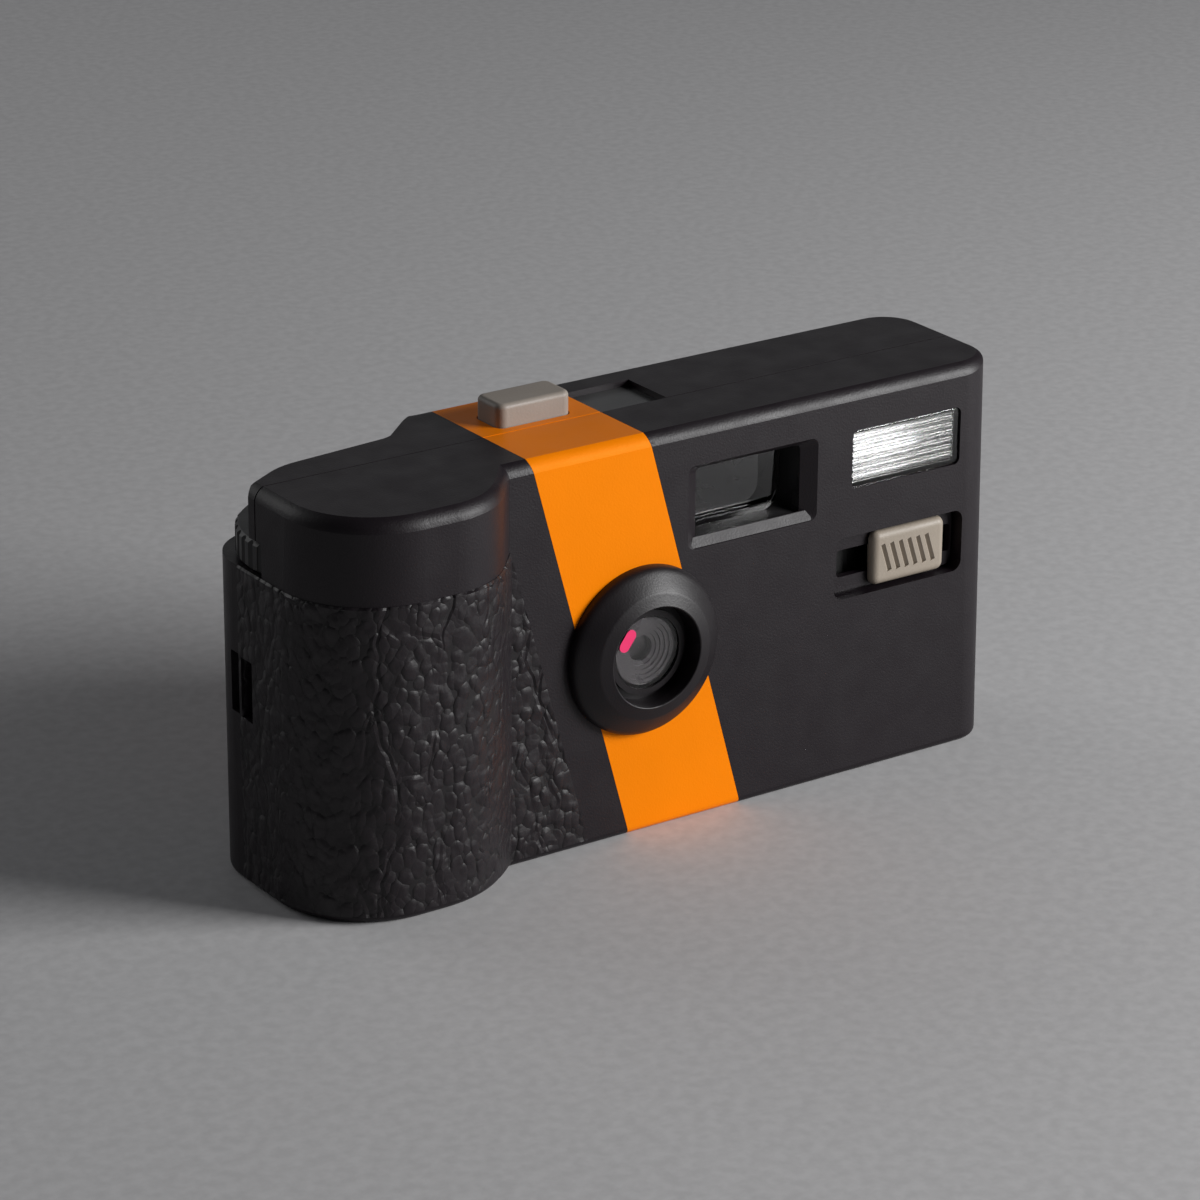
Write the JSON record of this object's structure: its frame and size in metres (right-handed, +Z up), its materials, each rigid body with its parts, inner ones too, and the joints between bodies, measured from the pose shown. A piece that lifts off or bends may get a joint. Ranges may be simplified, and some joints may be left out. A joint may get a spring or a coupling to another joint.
{
  "type": "film camera",
  "caption": "Compact point-and-shoot film camera with a built-in flash, a side grip, a thumb wind wheel, a sliding flash switch and a top shutter button.",
  "frame": {"origin": "on the plane that the base stands on, under the middle of the camera's length and depth", "axes": "+Z up, +X along the front towards the flash, +Y from the front of the camera to its back"},
  "size_m": [0.1196, 0.038, 0.0634],
  "materials": {
    "housing": "fine-textured satin, charcoal black",
    "grip_skin": "leather-grained matte",
    "accent": "satin orange",
    "lens_black": "smooth satin black",
    "clear": "clear moulded plastic",
    "pink_mark": "smooth pink",
    "hood_grey": "ridged dark grey",
    "optic": "clear moulded lens",
    "inner_black": "matte black",
    "inner_white": "satin white",
    "mirror_finish": "bright plated",
    "tube_glass": "clear glass",
    "slider_beige": "satin warm grey",
    "button_grey": "satin warm grey",
    "smoked": "smoked clear plastic",
    "wheel_black": "satin black",
    "can_metal": "plain painted tin",
    "film_base": "dark glossy film",
    "blade_metal": "dark thin sheet",
    "screw_steel": "blackened steel",
    "spring_steel": "bright steel wire",
    "contact_metal": "plated brass",
    "board_green": "circuit board",
    "capacitor_sleeve": "black sleeve",
    "winding": "copper winding",
    "battery_label": "plain battery sleeve",
    "lamp_orange": "orange lamp"
  },
  "bodies": {
    "camera": {"front_shell": "housing", "rear_shell": "housing", "grip_cover": "grip_skin", "front_band": "accent", "rear_band": "accent", "lens_ring": "lens_black", "lens_window": "clear", "index_mark": "pink_mark", "lens_baffle": "hood_grey", "taking_lens": "optic", "lens_retainer": "inner_black", "finder_tunnel": "inner_black", "finder_front_lens": "optic", "finder_rear_lens": "optic", "flash_window": "clear", "flash_reflector": "mirror_finish", "flash_tube": "tube_glass", "button_spring": "spring_steel", "counter_window": "smoked", "film_can": "can_metal", "film_strip": "film_base", "main_chassis": "inner_black", "shutter_plate": "inner_black", "plate_screws": "screw_steel", "blade_spring": "spring_steel", "flash_board": "board_green", "board_screws": "screw_steel", "flash_capacitor": "capacitor_sleeve", "flash_transformer": "winding", "trigger_coil": "winding", "battery": "battery_label", "battery_minus_contact": "contact_metal", "battery_plus_contact": "contact_metal", "ready_lamp": "lamp_orange", "wind_pawl": "spring_steel", "shell_screws": "screw_steel"},
    "button": {"shutter_button": "button_grey"},
    "slider": {"flash_slider": "slider_beige", "slider_contact": "contact_metal"},
    "wheel": {"wind_wheel": "wheel_black", "cartridge_spool": "inner_black", "cartridge_film": "film_base"},
    "supply": {"supply_spool": "inner_white", "supply_film": "film_base"},
    "sprocket": {"sprocket_shaft": "inner_white"},
    "counter": {"counter_disc": "inner_white"},
    "lever": {"release_lever": "inner_white"},
    "blade": {"shutter_blade": "blade_metal"}
  },
  "joints": [
    {"name": "button_press", "type": "slide", "parent": "camera", "child": "button", "axis": [0, 0, -1], "range_m": [0, 0.0015], "stiffness_N_per_m": 1200, "springref_m": -0.0006, "deforming": ["button_spring"]},
    {"name": "flash_switch", "type": "slide", "parent": "camera", "child": "slider", "axis": [1, 0, 0], "range_m": [-0.0065, 0.002]},
    {"name": "film_wind", "type": "hinge", "parent": "camera", "child": "wheel", "pos_m": [-0.04412, 0.00385, 0.05], "axis": [0, 0, 1], "continuous": true},
    {"name": "supply_turn", "type": "hinge", "parent": "camera", "child": "supply", "pos_m": [0.03333, 0.00345, 0.0283], "axis": [0, 0, 1], "continuous": true},
    {"name": "sprocket_turn", "type": "hinge", "parent": "camera", "child": "sprocket", "pos_m": [-0.00914, 0.00505, 0.045], "axis": [0, 0, 1], "continuous": true},
    {"name": "counter_turn", "type": "hinge", "parent": "camera", "child": "counter", "pos_m": [0.00246, 0.00695, 0.056], "axis": [0, 0, 1], "continuous": true},
    {"name": "lever_swing", "type": "hinge", "parent": "camera", "child": "lever", "pos_m": [-0.02384, 0.0071, 0.048], "axis": [0, 0, 1], "range_deg": [-12.5, 0]},
    {"name": "blade_open", "type": "hinge", "parent": "camera", "child": "blade", "pos_m": [0.00333, -0.00215, 0.0319], "axis": [0, 1, 0], "range_deg": [0, 45], "stiffness_Nm_per_rad": 0.0002, "springref_deg": -17.19}
  ],
  "couplings": [
    {"joint": "supply_turn", "follows": "film_wind", "ratio": 1.233},
    {"joint": "sprocket_turn", "follows": "film_wind", "ratio": 1.5},
    {"joint": "counter_turn", "follows": "film_wind", "ratio": -0.05},
    {"joint": "lever_swing", "follows": "button_press", "rad_per_m": -139.6}
  ]
}
